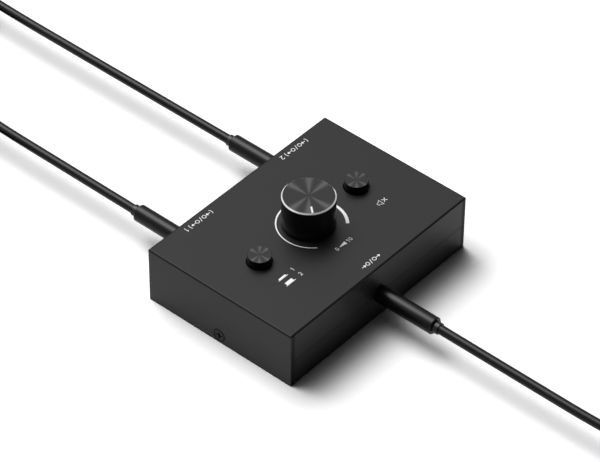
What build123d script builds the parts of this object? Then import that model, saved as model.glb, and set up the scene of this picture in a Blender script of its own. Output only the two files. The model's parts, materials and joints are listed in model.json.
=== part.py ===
"""A passive stereo audio switch box on its table, with a lead in each of its three 3.5 mm jacks.

Millimetres. The origin is under the middle of the case, +Z is up, +X runs along the case and the
single jack is in the front wall, at -Y. The case is a folded cover over a base tray, which carries
the circuit board with its jacks, volume control and push switches.
"""
import os
from math import cos, pi, radians, sin, tan

from build123d import *

os.makedirs("parts", exist_ok=True)

# Case, folded from sheet
CASE_LENGTH = 100.0
CASE_DEPTH = 70.0
CASE_HEIGHT = 25.0
SHEET = 1.2
BEND_RADIUS = 0.25
SEAM = 0.2
TRAY_CLEARANCE = 0.15
TAB_WIDTH = 16.0
TAB_HEIGHT = 8.0

# Screws
COVER_SCREW_RISE = 3.5
COVER_SCREW_RADIUS = 1.5
COVER_SCREW_LENGTH = 5.0
COVER_SCREW_HEAD_RADIUS = 2.8
BOARD_SCREW_RADIUS = 1.25
BOARD_SCREW_LENGTH = 4.5
BOARD_SCREW_HEAD_RADIUS = 2.3
BOARD_SCREW_HEAD_HEIGHT = 1.6
RECESS_WIDTH = 0.7
RECESS_SHARE = 0.6
THREAD_CLEARANCE = 0.05
HOLE_CLEARANCE = 0.2

# Circuit board on its standoffs
STANDOFF_HEIGHT = 3.7
STANDOFF_RADIUS = 2.75
STANDOFF_INSET = 4.0
BOARD_THICKNESS = 1.6
BOARD_MARGIN_X = 5.0
BOARD_MARGIN_Y = 2.0
LEG_WIDTH = 0.7
LEG_THICKNESS = 0.4
LEG_BELOW_BOARD = 1.2
LEG_HOLE_RADIUS = 0.6

# Jacks
FRONT_JACK_X = -0.2
REAR_JACK_1_INSET = 23.3
REAR_JACK_2_INSET = 22.9
JACK_WIDTH = 9.0
JACK_DEPTH = 14.0
JACK_HEIGHT = 9.0
JACK_AXIS_RISE = 5.0
JACK_WALL_GAP = 0.3
NOSE_RADIUS = 3.0
CONTACT_CLEARANCE = 0.1
LEAF_OFFSET = 2.6
LEAF_WIDTH = 2.4
LEAF_LENGTH = 4.0
POCKET_CLEARANCE = 0.3

# Plug pins
PIN_RADIUS = 1.75
PIN_CLEARANCE = 0.05
PIN_LENGTH = 14.0
SLEEVE_LENGTH = 8.2
INSULATOR_LENGTH = 0.6
RING_LENGTH = 1.8
TIP_WAIST_RADIUS = 1.25
TIP_END_RADIUS = 0.5
PIN_ROOT = 4.0
PIN_ROOT_RADIUS = 1.2
PLUG_SEAT_GAP = 0.2

# Plug grips and cords
GRIP_RADIUS = 3.5
GRIP_LENGTH = 26.6
GRIP_CHAMFER = 0.4
RELIEF_RADIUS = 2.35
RELIEF_LENGTH = 2.2
CORD_DIAMETER = 3.8
CORD_LENGTH = 910.0
BEND_SHARE = 0.45
TURN_GAP = 0.6
TIE_THICKNESS = 0.8
TIE_WIDTH = 8.0
TIE_CLEARANCE = 0.3
ENTRY_RISE = 0.5

# Volume control
SHAFT_RADIUS = 3.0
SHAFT_CLEARANCE = 0.05
SHAFT_FLAT = 0.8
SHAFT_HOLE_CLEARANCE = 0.6
POT_SIZE = 12.0
POT_HEIGHT = 7.0
POT_WALL = 1.2
POT_CAVITY_RADIUS = 4.6
TRACK_INNER_RADIUS = 2.4
TRACK_OUTER_RADIUS = 4.2
TRACK_THICKNESS = 0.3
TRACK_BREAK = 2.0
BUSHING_RADIUS = 4.0
BUSHING_HEIGHT = 6.0
POT_LEG_PITCH = 2.5
POT_LEG_INSET = 1.6
ROTOR_CLEARANCE = 0.3
WIPER_GAP = 0.1

# Knob
KNOB_RADIUS = 10.3
KNOB_HEIGHT = 13.2
KNOB_GAP = 0.8
KNOB_BEVEL = 0.45
KNOB_WALL = 1.8
KNOB_TOP = 4.0
HUB_RADIUS = 4.6
SOCKET_DEPTH = 9.0
SOCKET_CLEARANCE = 0.02
POINTER_ANGLE = 139.0
POINTER_INNER = 6.2
POINTER_OUTER = 9.6
POINTER_WIDTH = 0.9
POINTER_DEPTH = 0.3

# Push buttons and their switches
BUTTON_INSET = 22.5
BUTTON_RADIUS = 4.65
BUTTON_STAND = 3.4
BUTTON_BEVEL = 0.15
BUTTON_CLEARANCE = 0.5
BUTTON_TRAVEL = 2.5
BUTTON_FLANGE = 0.8
BUTTON_FLANGE_WIDTH = 1.2
BUTTON_SOCKET = 2.2
SWITCH_SIZE = 8.5
SWITCH_HEIGHT = 10.0
SWITCH_FLOOR = 1.0
PLUNGER_RADIUS = 2.5
PLUNGER_CLEARANCE = 0.05
PLUNGER_FLAT = 0.3
BRIDGE_THICKNESS = 0.5
BRIDGE_WIDTH = 3.0
BRIDGE_HEIGHT = 2.0
SWITCH_LEG_GAP = 0.3
SWITCH_LEG_PITCH = 2.0
SPRING_LENGTH = 5.5
SPRING_RADIUS = 1.6
SPRING_WIRE = 0.4
SPRING_TURNS = 5

# Places that follow from the sizes above
WALL_X = CASE_LENGTH / 2
WALL_Y = CASE_DEPTH / 2
REAR_JACK_1_X = REAR_JACK_1_INSET - WALL_X
REAR_JACK_2_X = WALL_X - REAR_JACK_2_INSET
BUTTON_X = WALL_X - BUTTON_INSET
INNER_X = WALL_X - SHEET
INNER_Y = WALL_Y - SHEET
LID_UNDER = CASE_HEIGHT - SHEET
BOARD_UNDER = SHEET + STANDOFF_HEIGHT
BOARD_TOP = BOARD_UNDER + BOARD_THICKNESS
BOARD_X = INNER_X - BOARD_MARGIN_X
BOARD_Y = INNER_Y - BOARD_MARGIN_Y
JACK_Z = BOARD_TOP + JACK_AXIS_RISE
JACK_FRONT = -INNER_Y + JACK_WALL_GAP
BORE_RADIUS = PIN_RADIUS + PIN_CLEARANCE
RING_START = SLEEVE_LENGTH + INSULATOR_LENGTH
TIP_START = RING_START + RING_LENGTH + INSULATOR_LENGTH
LEG_FOOT = BOARD_UNDER - LEG_BELOW_BOARD
CORD_RADIUS = CORD_DIAMETER / 2
TURN_PITCH = CORD_DIAMETER + TURN_GAP
LOW_LAYER = TIE_THICKNESS + TIE_CLEARANCE + CORD_RADIUS
HIGH_LAYER = LOW_LAYER + TURN_PITCH
PLUG_REST = GRIP_RADIUS
TAIL_STEP = GRIP_RADIUS + CORD_RADIUS + TURN_GAP
POT_FLOOR = BOARD_TOP + POT_WALL
POT_CEILING = BOARD_TOP + POT_HEIGHT - POT_WALL
ROTOR_TOP = POT_CEILING - ROTOR_CLEARANCE
KNOB_BASE = CASE_HEIGHT + KNOB_GAP
KNOB_CROWN = KNOB_BASE + KNOB_HEIGHT
FLAT_Y = SHAFT_RADIUS - SHAFT_FLAT
BUTTON_FLANGE_TOP = LID_UNDER - BUTTON_CLEARANCE
BUTTON_BASE = BUTTON_FLANGE_TOP - BUTTON_FLANGE
BUTTON_CROWN = CASE_HEIGHT + BUTTON_STAND
SPRING_SEAT = BOARD_TOP + SWITCH_FLOOR
PLUNGER_FOOT = SPRING_SEAT + SPRING_LENGTH
BRIDGE_X = PLUNGER_RADIUS - PLUNGER_FLAT
SWITCH_LEG_X = BRIDGE_X + BRIDGE_THICKNESS + SWITCH_LEG_GAP
SWITCH_SLOT_X = SWITCH_LEG_X + LEG_THICKNESS + SWITCH_LEG_GAP
UP = Vector(0, 0, 1)

JACKS = {"front_jack": (FRONT_JACK_X, -1), "rear_jack_1": (REAR_JACK_1_X, 1),
         "rear_jack_2": (REAR_JACK_2_X, 1)}
BUTTONS = {"select": -BUTTON_X, "mute": BUTTON_X}


def block(x0, x1, y0, y1, z0, z1):
    """A box between two corners."""
    return Pos((x0 + x1) / 2, (y0 + y1) / 2, (z0 + z1) / 2) * Box(x1 - x0, y1 - y0, z1 - z0)


def disc(radius, z0, z1, x=0.0, y=0.0):
    """An upright cylinder between two heights."""
    return Pos(x, y, (z0 + z1) / 2) * Cylinder(radius, z1 - z0)


def rod(radius, y0, y1, x=0.0, z=0.0):
    """A cylinder lying along Y."""
    return Pos(x, (y0 + y1) / 2, z) * Rot(90, 0, 0) * Cylinder(radius, y1 - y0)


def write(name, *shapes):
    """Write one node, of one solid or of several like ones."""
    solids = [solid for shape in shapes for solid in shape.solids()]
    export_step(solids[0] if len(solids) == 1 else Compound(children=solids), f"parts/{name}.step")


def jack_frame(x, side):
    """Where a jack that is drawn in the front wall goes: front as drawn, or turned to the back."""
    return Pos(x, 0, 0) * Rot(0, 0, 0 if side < 0 else 180)


def side_frames():
    """The two cover screws' frames, with Z out of the case's left and right sides."""
    for side in (-1, 1):
        yield Plane(origin=(side * WALL_X, 0, COVER_SCREW_RISE), z_dir=(side, 0, 0)).location


def standoff_places():
    """The board's four fixing points."""
    return [Pos(x, y, 0)
            for x in (-BOARD_X + STANDOFF_INSET, BOARD_X - STANDOFF_INSET)
            for y in (-BOARD_Y + STANDOFF_INSET, BOARD_Y - STANDOFF_INSET)]


# Folded case

def jack_holes(clearance):
    """The round holes for the jack noses, half in the cover and half in the tray."""
    hole = rod(NOSE_RADIUS + clearance, -WALL_Y - SHEET, -INNER_Y + SHEET, z=JACK_Z)
    return [jack_frame(x, side) * hole for x, side in JACKS.values()]


def top_cover():
    """Top with full-height ends; its front and back walls stop at the seam through the jacks."""
    shell = block(-WALL_X, WALL_X, -WALL_Y, WALL_Y, 0, CASE_HEIGHT)
    bends = shell.edges().filter_by(lambda edge: edge.center().Z > CASE_HEIGHT / 4)
    shell = fillet(bends, BEND_RADIUS)
    shell -= block(-INNER_X, INNER_X, -INNER_Y, INNER_Y, 0, LID_UNDER)
    shell -= block(-INNER_X, INNER_X, -WALL_Y, WALL_Y, 0, JACK_Z + SEAM / 2)
    shell -= disc(SHAFT_RADIUS + SHAFT_HOLE_CLEARANCE, LID_UNDER, CASE_HEIGHT)
    for x in BUTTONS.values():
        shell -= disc(BUTTON_RADIUS + BUTTON_CLEARANCE, LID_UNDER, CASE_HEIGHT, x)
    for hole in jack_holes(HOLE_CLEARANCE):
        shell -= hole
    mouth = COVER_SCREW_HEAD_RADIUS + HOLE_CLEARANCE
    for frame in side_frames():
        shell -= frame * Pos(0, 0, -SHEET / 2) * Cone(mouth - SHEET, mouth, SHEET)
    return shell


def base_tray():
    """Floor with low front and back walls, and a tapped tab inside each end of the cover."""
    x = INNER_X - TRAY_CLEARANCE
    tray = block(-x, x, -WALL_Y, WALL_Y, 0, JACK_Z - SEAM / 2)
    folds = tray.edges().filter_by(Axis.X).group_by(Axis.Z)[0]
    tray = fillet(folds, BEND_RADIUS)
    tray -= block(-x, x, -INNER_Y, INNER_Y, SHEET, JACK_Z)
    for side in (-1, 1):
        inner, outer = sorted((side * (x - SHEET), side * x))
        tray += block(inner, outer, -TAB_WIDTH / 2, TAB_WIDTH / 2, 0, TAB_HEIGHT)
    for hole in jack_holes(HOLE_CLEARANCE):
        tray -= hole
    for frame in side_frames():
        tray -= frame * disc(COVER_SCREW_RADIUS + THREAD_CLEARANCE, -COVER_SCREW_LENGTH, 0)
    return tray


def cross_recess(head_radius, depth):
    """The cross that is cut into a screw's head, whose top is at z=0."""
    reach = head_radius * RECESS_SHARE
    half = RECESS_WIDTH / 2
    return block(-reach, reach, -half, half, -depth, 0) + block(-half, half, -reach, reach, -depth, 0)


def cover_screw():
    """Countersunk screw, its flat head level with z=0."""
    neck = COVER_SCREW_HEAD_RADIUS - SHEET
    screw = Pos(0, 0, -SHEET / 2) * Cone(neck, COVER_SCREW_HEAD_RADIUS, SHEET)
    screw += disc(COVER_SCREW_RADIUS, -COVER_SCREW_LENGTH, -SHEET)
    return screw - cross_recess(COVER_SCREW_HEAD_RADIUS, SHEET * RECESS_SHARE)


write("top_cover", top_cover())
write("base_tray", base_tray())
write("cover_screws", *[frame * cover_screw() for frame in side_frames()])


# Circuit board, with a hole for every leg

def jack_legs():
    """Leg places of a front jack: the sleeve's saddle, the ring's leaf and the tip's leaf."""
    face = -WALL_Y - PLUG_SEAT_GAP
    ring = face + RING_START + RING_LENGTH / 2
    tip = face + TIP_START + RING_LENGTH / 2
    sleeve = face + SLEEVE_LENGTH / 2 + PLUG_SEAT_GAP
    leaf = LEAF_OFFSET + LEG_THICKNESS / 2
    return {"sleeve": (0.0, sleeve), "ring": (-leaf, ring), "tip": (leaf, tip)}


def pot_legs():
    """Two rows of three legs, one row for each channel."""
    row = POT_SIZE / 2 - POT_LEG_INSET
    return [(step * POT_LEG_PITCH, y) for y in (-row, row) for step in (-1, 0, 1)]


def switch_legs(x):
    """The two fixed contacts that a switch's bridge joins."""
    leg = x + SWITCH_LEG_X + LEG_THICKNESS / 2
    return [(leg, step * SWITCH_LEG_PITCH / 2) for step in (-1, 1)]


def circuit_board():
    """Plain board with fixing holes and leg holes."""
    board = block(-BOARD_X, BOARD_X, -BOARD_Y, BOARD_Y, BOARD_UNDER, BOARD_TOP)
    hole = disc(LEG_HOLE_RADIUS, BOARD_UNDER, BOARD_TOP)
    holes = [Pos(x, y, 0) * hole for x, y in pot_legs()]
    holes += [Pos(x, y, 0) * hole for button in BUTTONS.values() for x, y in switch_legs(button)]
    for x, side in JACKS.values():
        holes += [jack_frame(x, side) * Pos(*leg, 0) * hole for leg in jack_legs().values()]
    fixing = disc(BOARD_SCREW_RADIUS + HOLE_CLEARANCE, BOARD_UNDER, BOARD_TOP)
    holes += [place * fixing for place in standoff_places()]
    return board - holes


def standoff():
    """Tapped post pressed into the tray's floor."""
    post = disc(STANDOFF_RADIUS, SHEET, BOARD_UNDER)
    return post - disc(BOARD_SCREW_RADIUS + THREAD_CLEARANCE, SHEET, BOARD_UNDER)


def board_screw():
    """Pan-head screw through the board into a standoff."""
    crown = BOARD_TOP + BOARD_SCREW_HEAD_HEIGHT
    head = disc(BOARD_SCREW_HEAD_RADIUS, BOARD_TOP, crown)
    rim = head.edges().group_by(Axis.Z)[-1]
    head = fillet(rim, BOARD_SCREW_HEAD_HEIGHT / 2)
    head += disc(BOARD_SCREW_RADIUS, BOARD_TOP - BOARD_SCREW_LENGTH, BOARD_TOP)
    depth = BOARD_SCREW_HEAD_HEIGHT * RECESS_SHARE
    return head - Pos(0, 0, crown) * cross_recess(BOARD_SCREW_HEAD_RADIUS, depth)


write("circuit_board", circuit_board())
write("board_standoffs", *[place * standoff() for place in standoff_places()])
write("board_screws", *[place * board_screw() for place in standoff_places()])


# Jacks, drawn in the front wall

def leaf_reach(y):
    """The stretch along Y that a leaf contact with its leg at y takes up."""
    return y - LEAF_LENGTH / 2, y + LEAF_LENGTH / 2


def jack_housing():
    """Moulded block with its nose in the wall, its bore and a pocket for each contact."""
    body = block(-JACK_WIDTH / 2, JACK_WIDTH / 2, JACK_FRONT, JACK_FRONT + JACK_DEPTH,
                 BOARD_TOP, BOARD_TOP + JACK_HEIGHT)
    body += rod(NOSE_RADIUS, -WALL_Y, JACK_FRONT, z=JACK_Z)
    body -= rod(BORE_RADIUS, -WALL_Y, -WALL_Y + PIN_LENGTH + POCKET_CLEARANCE, z=JACK_Z)
    legs = jack_legs()
    half = LEAF_WIDTH / 2 + POCKET_CLEARANCE
    for name, side in (("ring", -1), ("tip", 1)):
        inner, outer = sorted((0.0, side * (LEAF_OFFSET + LEG_THICKNESS + POCKET_CLEARANCE)))
        start, end = leaf_reach(legs[name][1])
        body -= block(inner, outer, start - POCKET_CLEARANCE, end + POCKET_CLEARANCE,
                      BOARD_TOP, JACK_Z + half)
    start, end = leaf_reach(legs["sleeve"][1])
    body -= block(-half, half, start - POCKET_CLEARANCE, end + POCKET_CLEARANCE, BOARD_TOP, JACK_Z)
    return body


def jack_contacts():
    """Saddle under the sleeve, and a leaf beside the ring and the tip, each with its leg."""
    legs = jack_legs()
    touch = BORE_RADIUS + CONTACT_CLEARANCE
    half = LEAF_WIDTH / 2
    leg_half = LEG_WIDTH / 2
    contacts = []
    start, end = leaf_reach(legs["sleeve"][1])
    saddle = block(-half, half, start, end, JACK_Z - touch - LEG_THICKNESS, JACK_Z - touch)
    x, y = legs["sleeve"]
    saddle += block(x - LEG_THICKNESS / 2, x + LEG_THICKNESS / 2, y - leg_half, y + leg_half,
                    LEG_FOOT, JACK_Z - touch)
    contacts.append(saddle)
    for name in ("ring", "tip"):
        x, y = legs[name]
        start, end = leaf_reach(y)
        x0, x1 = x - LEG_THICKNESS / 2, x + LEG_THICKNESS / 2
        leaf = block(x0, x1, start, end, JACK_Z - half, JACK_Z + half)
        leaf += block(x0, x1, y - leg_half, y + leg_half, LEG_FOOT, JACK_Z)
        bump = sorted((x, touch if x > 0 else -touch))
        leaf += block(*bump, y - leg_half, y + leg_half, JACK_Z - half, JACK_Z + half)
        contacts.append(leaf)
    return contacts


for name, (x, side) in JACKS.items():
    write(f"{name}_housing", jack_frame(x, side) * jack_housing())
write("jack_contacts", *[jack_frame(x, side) * contact
                         for x, side in JACKS.values() for contact in jack_contacts()])


# Volume control, and the knob on its shaft

def leg(x, y, top):
    """A square-ended leg through the board."""
    return block(x - LEG_THICKNESS / 2, x + LEG_THICKNESS / 2, y - LEG_WIDTH / 2, y + LEG_WIDTH / 2,
                 LEG_FOOT, top)


def pot_housing():
    """Square housing around the rotor."""
    half = POT_SIZE / 2
    housing = block(-half, half, -half, half, BOARD_TOP, BOARD_TOP + POT_HEIGHT)
    housing -= disc(POT_CAVITY_RADIUS, POT_FLOOR, POT_CEILING)
    return housing - disc(SHAFT_RADIUS + SHAFT_CLEARANCE, POT_CEILING, BOARD_TOP + POT_HEIGHT)


def pot_track():
    """Broken ring of resistive track on the housing's floor."""
    track = disc(TRACK_OUTER_RADIUS, POT_FLOOR, POT_FLOOR + TRACK_THICKNESS)
    track -= disc(TRACK_INNER_RADIUS, POT_FLOOR, POT_FLOOR + TRACK_THICKNESS)
    return track - block(-TRACK_BREAK / 2, TRACK_BREAK / 2, -TRACK_OUTER_RADIUS, 0,
                         POT_FLOOR, POT_FLOOR + TRACK_THICKNESS)


def pot_bushing():
    """Collar that guides the shaft."""
    low, high = BOARD_TOP + POT_HEIGHT, BOARD_TOP + POT_HEIGHT + BUSHING_HEIGHT
    return disc(BUSHING_RADIUS, low, high) - disc(SHAFT_RADIUS + SHAFT_CLEARANCE, low, high)


def shaft_form(radius, flat_y, z0, z1):
    """A round bar with one flat."""
    return disc(radius, z0, z1) - block(-radius, radius, flat_y, radius, z0, z1)


def pot_shaft():
    """Round shaft from the rotor, with a flat where the knob goes on."""
    flat_end = KNOB_BASE + SOCKET_DEPTH
    return disc(SHAFT_RADIUS, ROTOR_TOP, KNOB_BASE) + shaft_form(SHAFT_RADIUS, FLAT_Y, KNOB_BASE, flat_end)


def pot_rotor():
    """Rotor under the shaft, with a wiper finger just above the track."""
    rotor_foot = POT_FLOOR + TRACK_THICKNESS + ROTOR_CLEARANCE
    rotor = disc(POT_CAVITY_RADIUS - ROTOR_CLEARANCE, rotor_foot, ROTOR_TOP)
    reach = (TRACK_INNER_RADIUS + TRACK_OUTER_RADIUS) / 2
    finger = disc(LEG_WIDTH / 2, POT_FLOOR + TRACK_THICKNESS + WIPER_GAP, rotor_foot)
    turned = Rot(0, 0, POINTER_ANGLE)
    return rotor + [turned * Pos(0, side * reach, 0) * finger for side in (-1, 1)]


def pointer_form():
    """The bar of the pointer at its rest angle."""
    half = POINTER_WIDTH / 2
    bar = block(-half, half, POINTER_INNER, POINTER_OUTER, KNOB_CROWN - POINTER_DEPTH, KNOB_CROWN)
    return Rot(0, 0, POINTER_ANGLE) * bar


def knob():
    """Turned cup with a bevelled rim, hollow round the hub that takes the shaft."""
    body = disc(KNOB_RADIUS, KNOB_BASE, KNOB_CROWN)
    body = chamfer(body.edges().group_by(Axis.Z)[-1], KNOB_BEVEL)
    hollow_top = KNOB_CROWN - KNOB_TOP
    hollow = disc(KNOB_RADIUS - KNOB_WALL, KNOB_BASE, hollow_top)
    hollow -= disc(HUB_RADIUS, KNOB_BASE, hollow_top)
    socket = shaft_form(SHAFT_RADIUS + SOCKET_CLEARANCE, FLAT_Y + SOCKET_CLEARANCE,
                        KNOB_BASE, KNOB_BASE + SOCKET_DEPTH)
    return body - hollow - socket - pointer_form()


write("pot_housing", pot_housing())
write("pot_terminals", *[leg(x, y, BOARD_TOP) for x, y in pot_legs()])
write("pot_track", pot_track())
write("pot_bushing", pot_bushing())
write("pot_shaft", pot_shaft())
write("pot_rotor", pot_rotor())
write("knob", knob())
write("knob_pointer", pointer_form())


# Push buttons on their switches, drawn at x=0

def biarc_path(points, tangents, lead_in=0.0, lead_out=0.0):
    """A smooth wire through the points, two arcs to a step, with a straight length at each end."""
    edges = []
    if lead_in:
        edges.append(Line(points[0] - tangents[0] * lead_in, points[0]))
    for p0, p1, t0, t1 in zip(points, points[1:], tangents, tangents[1:]):
        chord = p1 - p0
        lean = chord.dot(t0 + t1)
        bend = 2 * (1 - t0.dot(t1))
        handle = (-lean + (lean ** 2 + bend * chord.dot(chord)) ** 0.5) / bend
        joint = (p0 + t0 * handle + p1 - t1 * handle) * 0.5
        edges.append(TangentArc(p0, joint, tangent=t0))
        edges.append(TangentArc(joint, p1, tangent=edges[-1] % 1))
    if lead_out:
        edges.append(Line(points[-1], points[-1] + tangents[-1] * lead_out))
    return Wire(edges)


def round_tube(path, radius):
    """A round section swept along a path."""
    section = Plane(origin=path @ 0, z_dir=path % 0) * Circle(radius)
    return sweep(section, path=path)


def switch_spring():
    """Steel wire wound from the switch's floor up to the plunger's foot."""
    low = SPRING_SEAT + SPRING_WIRE / 2
    rise = (SPRING_LENGTH - SPRING_WIRE) / (SPRING_TURNS * 2 * pi)
    points, tangents = [], []
    for step in range(4 * SPRING_TURNS + 1):
        angle = step * pi / 2
        points.append(Vector(SPRING_RADIUS * cos(angle), SPRING_RADIUS * sin(angle), low + rise * angle))
        tangents.append(Vector(-SPRING_RADIUS * sin(angle), SPRING_RADIUS * cos(angle), rise).normalized())
    return round_tube(biarc_path(points, tangents), SPRING_WIRE / 2)


def switch_housing():
    """Moulded block with the plunger's bore and a slot for the contacts."""
    half = SWITCH_SIZE / 2
    top = BOARD_TOP + SWITCH_HEIGHT
    housing = block(-half, half, -half, half, BOARD_TOP, top)
    housing -= disc(PLUNGER_RADIUS + PLUNGER_CLEARANCE, SPRING_SEAT, top)
    slot = BRIDGE_WIDTH / 2 + SWITCH_LEG_GAP
    return housing - block(0, SWITCH_SLOT_X, -slot, slot, BOARD_TOP, top)


def plunger():
    """Round bar with a flat for the contact bridge."""
    top = BUTTON_BASE + BUTTON_SOCKET
    bar = disc(PLUNGER_RADIUS, PLUNGER_FOOT, top)
    return bar - block(BRIDGE_X, PLUNGER_RADIUS, -PLUNGER_RADIUS, PLUNGER_RADIUS,
                       PLUNGER_FOOT, PLUNGER_FOOT + BRIDGE_HEIGHT)


def bridge():
    """Contact plate on the plunger's flat."""
    half = BRIDGE_WIDTH / 2
    return block(BRIDGE_X, BRIDGE_X + BRIDGE_THICKNESS, -half, half,
                 PLUNGER_FOOT, PLUNGER_FOOT + BRIDGE_HEIGHT)


def button_cap():
    """Round cap with a bevelled rim, and a flange under the cover that keeps it in."""
    cap = disc(BUTTON_RADIUS, BUTTON_BASE, BUTTON_CROWN)
    cap = chamfer(cap.edges().group_by(Axis.Z)[-1], BUTTON_BEVEL)
    cap += disc(BUTTON_RADIUS + BUTTON_FLANGE_WIDTH, BUTTON_BASE, BUTTON_FLANGE_TOP)
    return cap - disc(PLUNGER_RADIUS + SOCKET_CLEARANCE, BUTTON_BASE, BUTTON_BASE + BUTTON_SOCKET)


for name, x in BUTTONS.items():
    place = Pos(x, 0, 0)
    write(f"{name}_button_cap", place * button_cap())
    write(f"{name}_plunger", place * plunger())
    write(f"{name}_bridge", place * bridge())
    write(f"{name}_spring", place * switch_spring())
    write(f"{name}_switch_housing", place * switch_housing())
    contact_top = PLUNGER_FOOT - BUTTON_TRAVEL + BRIDGE_HEIGHT
    write(f"{name}_switch_terminals", *[leg(*at, contact_top) for at in switch_legs(x)])


# Leads: a plug in the jack, the cord, its coil with a tie, and the far plug
# A route's points are out from the plug, aside to +X and down from the jack's axis.
# Each route sinks towards its coil while it leans aside, so that from the front left it looks straight.

LEADS = {
    "front_lead": ("front_jack", 10, [(0, 0, 0), (9, 0, 0), (21, 0.15, 0.2), (35, 0.65, 0.85),
                                      (50, 1.35, 1.75), (65, 1.95, 2.55), (79, 2.45, 3.15), (92, 2.75, 3.55)]),
    "rear_lead_1": ("rear_jack_1", 11, [(0, 0, 0), (9, 0, 0), (21, 0.15, 0.2), (35, 0.7, 0.85),
                                        (50, 1.45, 1.75), (65, 2.1, 2.55), (80, 2.6, 3.15), (94, 2.95, 3.55)]),
    "rear_lead_2": ("rear_jack_2", 10, [(0, 0, 0), (11, 0, 0), (27, 0.15, 0.2), (46, 0.6, 0.75),
                                        (67, 1.3, 1.55), (88, 1.9, 2.25), (110, 2.45, 2.85), (131, 2.9, 3.3),
                                        (150, 3.15, 3.55)]),
}


def plug_pieces():
    """A plug's pieces with its pin along +Z and the grip's face at z=0."""
    grip = disc(GRIP_RADIUS, -GRIP_LENGTH, 0)
    grip = chamfer(grip.edges().filter_by(GeomType.CIRCLE), GRIP_CHAMFER)
    grip -= disc(PIN_ROOT_RADIUS + SOCKET_CLEARANCE, -PIN_ROOT, 0)
    relief = disc(RELIEF_RADIUS, -GRIP_LENGTH - RELIEF_LENGTH, -GRIP_LENGTH)
    sleeve = disc(PIN_RADIUS, 0, SLEEVE_LENGTH) + disc(PIN_ROOT_RADIUS, -PIN_ROOT, 0)
    ring = disc(PIN_RADIUS, RING_START, RING_START + RING_LENGTH)
    neck = (PIN_LENGTH - TIP_START) / 5
    tip_outline = Polyline((0, TIP_START), (PIN_RADIUS, TIP_START), (PIN_RADIUS, TIP_START + neck / 2),
                           (TIP_WAIST_RADIUS, TIP_START + neck * 3 / 2), (PIN_RADIUS, TIP_START + neck * 3),
                           (TIP_END_RADIUS, PIN_LENGTH), (0, PIN_LENGTH), close=True)
    tip = revolve(make_face(Plane.XZ * tip_outline), Axis.Z)
    insulators = [disc(PIN_RADIUS, end, end + INSULATOR_LENGTH)
                  for end in (SLEEVE_LENGTH, RING_START + RING_LENGTH)]
    return {"grip": [grip], "relief": [relief], "contacts": [sleeve, ring, tip], "insulators": insulators}


def cord_run(points):
    """The free stretch: straight runs joined by arcs as large as the runs allow."""
    runs = [b - a for a, b in zip(points, points[1:])]
    radii = [BEND_SHARE * min(a.length, b.length) / tan(radians(a.get_angle(b)) / 2)
             for a, b in zip(runs, runs[1:])]
    print("  bend radii", [round(radius) for radius in radii])
    return FilletPolyline(*points, radius=radii).wire()


def coil_steps(quarter_turns):
    """Radius offset, its slope, height and its slope at each quarter turn of a coil.

    The upper layer spirals in at one cord's pitch a turn, sinks to the lower layer in the half turn
    where the spiral reverses, and spirals out again; the last half turn swings out to the plug.
    """
    slope = TURN_PITCH / (2 * pi)
    steps = [(-TURN_PITCH * i / 4, -slope, HIGH_LAYER, 0.0) for i in range(quarter_turns + 1)]
    steps[0] = (0.0, 0.0, HIGH_LAYER + ENTRY_RISE, 0.0)
    middle = (HIGH_LAYER + LOW_LAYER) / 2
    steepest = 1.5 * (LOW_LAYER - HIGH_LAYER) / pi
    steps.append((-TURN_PITCH * (quarter_turns + 1) / 4, 0.0, middle, steepest))
    steps += [(-TURN_PITCH * i / 4, slope, LOW_LAYER, 0.0) for i in range(quarter_turns, -1, -1)]
    steps.append((TAIL_STEP / 2, TAIL_STEP / pi, (LOW_LAYER + PLUG_REST) / 2, 0.0))
    steps.append((TAIL_STEP, 0.0, PLUG_REST, 0.0))
    return steps


def coil_frame(angle, forward):
    """The outward and onward directions at an angle round a coil that turns left from forward."""
    left = UP.cross(forward)
    return forward * sin(angle) - left * cos(angle), forward * cos(angle) + left * sin(angle)


def coil_path(entry, heading, forward, quarter_turns, length):
    """The coil's wire from its entry, with the coil's centre, outer radius and outermost turn."""
    steps = coil_steps(quarter_turns)
    offsets = [step[0] for step in steps]
    mean = sum((a + b) / 2 for a, b in zip(offsets, offsets[1:]))
    turned = length - 2 * CORD_DIAMETER
    outer = (turned / (pi / 2) - mean) / (len(steps) - 1)
    first = entry + heading * CORD_DIAMETER
    outward, _ = coil_frame(0, forward)
    centre = first - outward * outer
    centre.Z = 0
    points, tangents = [], []
    for i, (offset, slope, height, climb) in enumerate(steps):
        outward, onward = coil_frame(i * pi / 2, forward)
        points.append(centre + outward * (outer + offset) + UP * height)
        tangents.append((onward * (outer + offset) + outward * slope + UP * climb).normalized())
    points[0], tangents[0] = first, heading
    path = biarc_path(points, tangents, CORD_DIAMETER, CORD_DIAMETER)
    return path, centre, outer, outer + min(offsets)


def tie(centre, outer, inner, angle, forward):
    """A strap round the coil's turns."""
    outward, _ = coil_frame(angle, forward)
    low = inner - CORD_RADIUS - TIE_CLEARANCE
    high = outer + CORD_RADIUS + TIE_CLEARANCE
    floor, roof = TIE_THICKNESS, HIGH_LAYER + CORD_RADIUS + TIE_CLEARANCE
    half = TIE_WIDTH / 2
    wall = TIE_THICKNESS
    strap = block(low - wall, high + wall, -half, half, 0, roof + wall)
    strap = fillet(strap.edges().filter_by(Axis.Y), 2 * wall)
    hollow = block(low, high, -half, half, floor, roof)
    strap -= fillet(hollow.edges().filter_by(Axis.Y), wall)
    return Plane(origin=centre, x_dir=outward, z_dir=UP).location * strap


def least_gap(path, radius):
    """The least clear gap between stretches of a tube that lie more than a bend apart."""
    samples = 8 * len(path.edges())
    step = path.length / samples
    points = [path @ (i / samples) for i in range(samples + 1)]
    apart = int(4 * pi * radius / step) + 1
    pairs = ((a, b) for i, a in enumerate(points) for b in points[i + apart:])
    return min((a - b).length for a, b in pairs) - 2 * radius


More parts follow.
